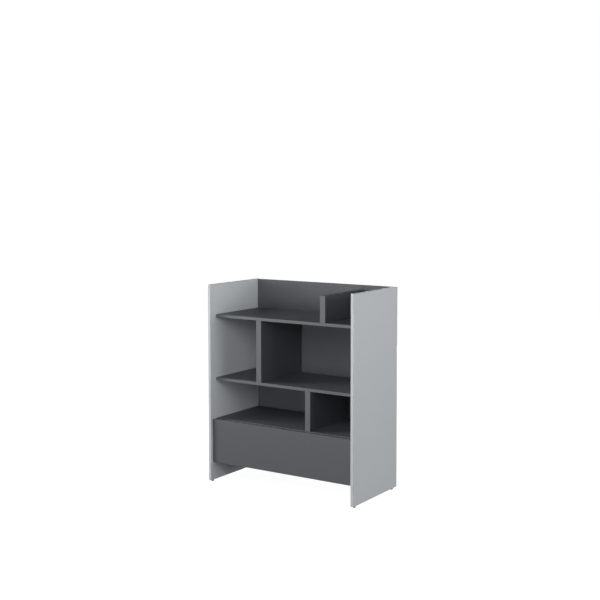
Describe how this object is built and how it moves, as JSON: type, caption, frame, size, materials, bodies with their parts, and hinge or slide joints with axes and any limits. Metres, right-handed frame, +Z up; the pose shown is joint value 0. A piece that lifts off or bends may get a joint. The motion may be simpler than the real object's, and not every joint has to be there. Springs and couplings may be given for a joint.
{
  "type": "open bookcase with drawer",
  "caption": "Half-height open bookcase with light side panels, dark shelves and offset dividers, over a wide handle-less drawer on telescopic slides.",
  "frame": {"origin": "on the floor, under the middle of the case", "axes": "+Z up, +Y towards the wall behind the case (the open front faces -Y), +X to the right as seen from the front"},
  "size_m": [0.92, 0.46, 1.088],
  "materials": {
    "light_grey_board": "light grey melamine laminate, satin, with edge bands of the same colour",
    "graphite_board": "graphite melamine laminate, matt",
    "graphite_hardboard": "graphite lacquered hardboard",
    "slide_steel": "zinc-plated rolled steel",
    "screw_steel": "zinc-plated",
    "cam_zinc": "die-cast zinc",
    "cage_steel": "bright steel",
    "glide_plastic": "black moulded plastic"
  },
  "bodies": {
    "case": {"back_panel": "graphite_board", "bottom_panel": "graphite_board", "cam_bottom_panel_left_front": "cam_zinc", "cam_bottom_panel_left_rear": "cam_zinc", "cam_bottom_panel_right_front": "cam_zinc", "cam_bottom_panel_right_rear": "cam_zinc", "cam_shelf_bottom_left_front": "cam_zinc", "cam_shelf_bottom_left_rear": "cam_zinc", "cam_shelf_bottom_right_front": "cam_zinc", "cam_shelf_bottom_right_rear": "cam_zinc", "cam_shelf_middle_left_front": "cam_zinc", "cam_shelf_middle_left_rear": "cam_zinc", "cam_shelf_middle_right_front": "cam_zinc", "cam_shelf_middle_right_rear": "cam_zinc", "cam_shelf_top_left_front": "cam_zinc", "cam_shelf_top_left_rear": "cam_zinc", "cam_shelf_top_right_front": "cam_zinc", "cam_shelf_top_right_rear": "cam_zinc", "divider_lower": "graphite_board", "divider_lower_screw_front": "screw_steel", "divider_lower_screw_rear": "screw_steel", "divider_middle": "graphite_board", "divider_middle_screw_front": "screw_steel", "divider_middle_screw_rear": "screw_steel", "divider_top": "graphite_board", "divider_top_screw_front": "screw_steel", "divider_top_screw_rear": "screw_steel", "glide_left_front": "glide_plastic", "glide_left_rear": "glide_plastic", "glide_right_front": "glide_plastic", "glide_right_rear": "glide_plastic", "screw_slide_outer_left_front": "screw_steel", "screw_slide_outer_left_rear": "screw_steel", "screw_slide_outer_right_front": "screw_steel", "screw_slide_outer_right_rear": "screw_steel", "shelf_bottom": "graphite_board", "shelf_middle": "graphite_board", "shelf_top": "graphite_board", "side_panel_left": "light_grey_board", "side_panel_right": "light_grey_board", "slide_outer_left": "slide_steel", "slide_outer_right": "slide_steel"},
    "drawer": {"drawer_back": "graphite_board", "drawer_bottom": "graphite_hardboard", "drawer_bottom_batten": "graphite_board", "drawer_front": "graphite_board", "drawer_side_left": "graphite_board", "drawer_side_right": "graphite_board", "screw_slide_inner_left_front": "screw_steel", "screw_slide_inner_left_rear": "screw_steel", "screw_slide_inner_right_front": "screw_steel", "screw_slide_inner_right_rear": "screw_steel", "slide_inner_left": "slide_steel", "slide_inner_right": "slide_steel"},
    "ball_cage_inner_left": {"ball_cage_inner_left": "cage_steel"},
    "ball_cage_inner_right": {"ball_cage_inner_right": "cage_steel"},
    "ball_cage_outer_left": {"ball_cage_outer_left": "cage_steel"},
    "ball_cage_outer_right": {"ball_cage_outer_right": "cage_steel"},
    "slide_middle_left": {"slide_middle_left": "slide_steel"},
    "slide_middle_right": {"slide_middle_right": "slide_steel"}
  },
  "joints": [
    {"name": "drawer_slide", "type": "slide", "parent": "case", "child": "drawer", "axis": [0, -1, 0], "range_m": [0, 0.39]},
    {"name": "slide_middle_left_travel", "type": "slide", "parent": "case", "child": "slide_middle_left", "axis": [0, -1, 0], "range_m": [0, 0.195]},
    {"name": "slide_middle_right_travel", "type": "slide", "parent": "case", "child": "slide_middle_right", "axis": [0, -1, 0], "range_m": [0, 0.195]},
    {"name": "ball_cage_outer_left_travel", "type": "slide", "parent": "case", "child": "ball_cage_outer_left", "axis": [0, -1, 0], "range_m": [0, 0.0975]},
    {"name": "ball_cage_outer_right_travel", "type": "slide", "parent": "case", "child": "ball_cage_outer_right", "axis": [0, -1, 0], "range_m": [0, 0.0975]},
    {"name": "ball_cage_inner_left_travel", "type": "slide", "parent": "case", "child": "ball_cage_inner_left", "axis": [0, -1, 0], "range_m": [0, 0.2925]},
    {"name": "ball_cage_inner_right_travel", "type": "slide", "parent": "case", "child": "ball_cage_inner_right", "axis": [0, -1, 0], "range_m": [0, 0.2925]}
  ],
  "couplings": [
    {"joint": "slide_middle_left_travel", "follows": "drawer_slide", "ratio": 0.5},
    {"joint": "slide_middle_right_travel", "follows": "drawer_slide", "ratio": 0.5},
    {"joint": "ball_cage_outer_left_travel", "follows": "drawer_slide", "ratio": 0.25},
    {"joint": "ball_cage_outer_right_travel", "follows": "drawer_slide", "ratio": 0.25},
    {"joint": "ball_cage_inner_left_travel", "follows": "drawer_slide", "ratio": 0.75},
    {"joint": "ball_cage_inner_right_travel", "follows": "drawer_slide", "ratio": 0.75}
  ]
}
